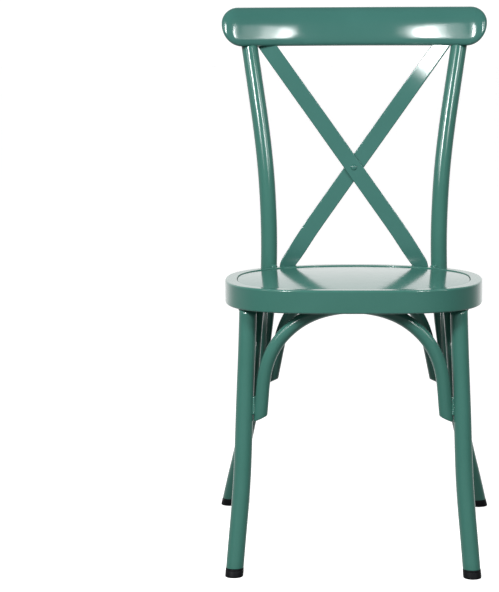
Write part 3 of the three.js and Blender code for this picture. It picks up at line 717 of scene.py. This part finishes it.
for name, s in SIDES:
    web_weld(f"weld_front_arch_{name}_bead", PATHS["front", s], (s * 146.35, FRONT_ARCH_Y, 260), None, f"weld_front_arch_{name}")
    rp = rear_point(139.8, 262)
    web_weld(f"weld_rear_arch_{name}_bead", PATHS["rear", s], (s * rp[0], rp[1], rp[2]), None, f"weld_rear_arch_{name}")
    web_weld(f"weld_side_arch_front_{name}_bead", PATHS["front", s], (s * 165.6, -166, 260), None, f"weld_side_arch_front_{name}")
    web_weld(f"weld_side_arch_rear_{name}_bead", PATHS["rear", s], (s * 165.6, 134, 260), None, f"weld_side_arch_rear_{name}")

    # bead down the seam between post and ring, and over the rim
    post = at_height(PATHS["rear", s], 448)
    d = np.array([-post[0], SEAT_CY - post[1], 0.0])
    d /= np.linalg.norm(d)
    side = np.array([-d[1], d[0], 0.0])
    seam = post + d * (LEG_R + 0.3)
    pts = [np.array([seam[0], seam[1], z]) for z in np.linspace(422, 453.4, 60)]
    ripple_bead(f"weld_back_post_{name}_bead", pts, d, side, 4.4, 6.6, [f"weld_back_post_{name}"], pitch=3.4)

    # collar at the top of the front leg
    top = at_height(PATHS["front", s], 413.5)
    n = 180
    prof = []
    rings = []
    for i in range(n):
        a = 2 * math.pi * i / n
        out = np.array([math.cos(a), math.sin(a), 0.0])
        lump = 0.25 * math.sin(a * 26) + 0.12 * math.sin(a * 11 + 1)
        c = np.array([top[0], top[1], SEAT_TOP - RING_H - 1.25]) + out * (LEG_R + 0.35)
        b = np.linspace(0, 2 * np.pi, 16, endpoint=False)
        rings.append(c + (0.8 + 0.35 * lump) * (np.cos(b)[:, None] * out + np.sin(b)[:, None] * np.array([0, 0, 1.0])))
    to_object(f"weld_front_leg_{name}_bead", *loft(rings, closed_path=True), [f"weld_front_leg_{name}"], "painted_weld", COLLAR)


# ---------------------------------------------------------------- stage
def stage_material(name, colour, rough, emit=0.0):
    m = bpy.data.materials.new(name)
    m.use_nodes = True
    b = m.node_tree.nodes["Principled BSDF"]
    b.inputs["Base Color"].default_value = (*colour, 1)
    b.inputs["Roughness"].default_value = rough
    b.inputs["Specular IOR Level"].default_value = 0.2
    b.inputs["Emission Color"].default_value = (1, 1, 1, 1)
    b.inputs["Emission Strength"].default_value = emit
    return m


floor_me = bpy.data.meshes.new("floor")
L = 30.0
floor_me.from_pydata([(-L, -L, 0), (L, -L, 0), (L, L, 0), (-L, L, 0)], [], [(0, 1, 2, 3)])
floor = bpy.data.objects.new("floor", floor_me)
bpy.context.scene.collection.objects.link(floor)
floor.location = (0, 0, cad_lo.z - 0.0002)
floor_me.materials.append(stage_material("floor_pale", (0.86, 0.86, 0.86), 0.6, 0.74))
floor.visible_diffuse = False
floor.visible_glossy = False

FRONT_LEVEL, BACK_LEVEL, TOP_SHARE, LOW_SHARE = 0.27, 1.10, 0.09, 0.75
world = bpy.data.worlds.new("studio")
bpy.context.scene.world = world
world.use_nodes = True
wn = world.node_tree
wn.nodes.clear()
wout = wn.nodes.new("ShaderNodeOutputWorld")
wbg = wn.nodes.new("ShaderNodeBackground")
wbg.inputs["Color"].default_value = (1, 1, 1, 1)
# A lit white backdrop behind the chair, a dimmer room in front, above and below.
w_dir = wn.nodes.new("ShaderNodeTexCoord")
w_xyz = wn.nodes.new("ShaderNodeSeparateXYZ")
wn.links.new(w_dir.outputs["Generated"], w_xyz.inputs[0])


def w_range(axis, lo, hi, a, b):
    r = wn.nodes.new("ShaderNodeMapRange")
    r.interpolation_type = "SMOOTHSTEP"
    r.inputs["From Min"].default_value = lo
    r.inputs["From Max"].default_value = hi
    r.inputs["To Min"].default_value = a
    r.inputs["To Max"].default_value = b
    wn.links.new(w_xyz.outputs[axis], r.inputs["Value"])
    return r.outputs[0]


def w_times(a, b):
    n = wn.nodes.new("ShaderNodeMath")
    n.operation = "MULTIPLY"
    wn.links.new(a, n.inputs[0])
    wn.links.new(b, n.inputs[1])
    return n.outputs[0]


w_level = w_times(w_range("Y", -0.35, 0.45, FRONT_LEVEL, BACK_LEVEL), w_range("Z", 0.42, 0.80, 1.0, TOP_SHARE))
w_level = w_times(w_level, w_range("Z", -0.45, -0.04, LOW_SHARE, 1.0))
w_level = w_times(w_level, w_range("X", 0.30, 0.97, 1.0, 0.24))
w_level = w_times(w_level, w_range("X", -0.97, -0.40, 0.48, 1.0))
wn.links.new(w_level, wbg.inputs["Strength"])
wn.links.new(wbg.outputs[0], wout.inputs[0])


def softbox(name, place, size, energy, aim=(0, 0, 0.6)):
    p = Vector(place)
    light = bpy.data.lights.new(name, "AREA")
    light.shape = "RECTANGLE"
    light.size, light.size_y = size
    light.energy = energy
    ob = bpy.data.objects.new(name, light)
    bpy.context.scene.collection.objects.link(ob)
    ob.location = p
    ob.rotation_euler = (Vector(aim) - p).to_track_quat("-Z", "Y").to_euler()
    return ob


def studio_light(name, panels):
    """A softbox with a hot middle and a gentle fall-off: panels, one in another."""
    for part, x, z, size, energy in panels:
        softbox(f"{name}_{part}", (x, -1.8, z), size, energy)


studio_light("key_left", [("core", -1.22, 2.0, (0.34, 0.6), 28), ("mid", -1.25, 1.95, (0.62, 0.84), 18), ("wide", -1.34, 1.9, (1.05, 1.05), 11)])
studio_light("key_right", [("core", 1.14, 2.0, (0.22, 0.6), 11), ("mid", 1.30, 1.95, (0.50, 0.8), 11), ("wide", 1.46, 1.9, (0.90, 0.95), 8)])
softbox("edge_left", (-2.15, -1.1, 1.9), (0.4, 0.8), 8)
softbox("edge_right", (2.2, -1.0, 1.9), (0.5, 0.8), 8)

# ---------------------------------------------------------------- camera
cam_data = bpy.data.cameras.new("camera")
cam = bpy.data.objects.new("camera", cam_data)
bpy.context.scene.collection.objects.link(cam)
cam_data.sensor_width = 36
cam_data.lens = 2404.8753 * 36 / 592
cam_data.clip_end = 100
pitch, yaw, roll = 0.1219, -0.0464, -0.0049
fwd = Vector((math.sin(yaw) * math.cos(pitch), math.cos(yaw) * math.cos(pitch), -math.sin(pitch)))
right = Vector((math.cos(yaw), -math.sin(yaw), 0))
up = right.cross(fwd)
r2 = math.cos(roll) * right + math.sin(roll) * up
u2 = -math.sin(roll) * right + math.cos(roll) * up
m = Matrix((
    (r2.x, u2.x, -fwd.x, 0.01128),
    (r2.y, u2.y, -fwd.y, -3.98827),
    (r2.z, u2.z, -fwd.z, 0.90196),
    (0, 0, 0, 1)))
cam.matrix_world = m
bpy.context.scene.camera = cam

bpy.context.scene.view_settings.view_transform = "Standard"
bpy.context.scene.view_settings.look = "None"
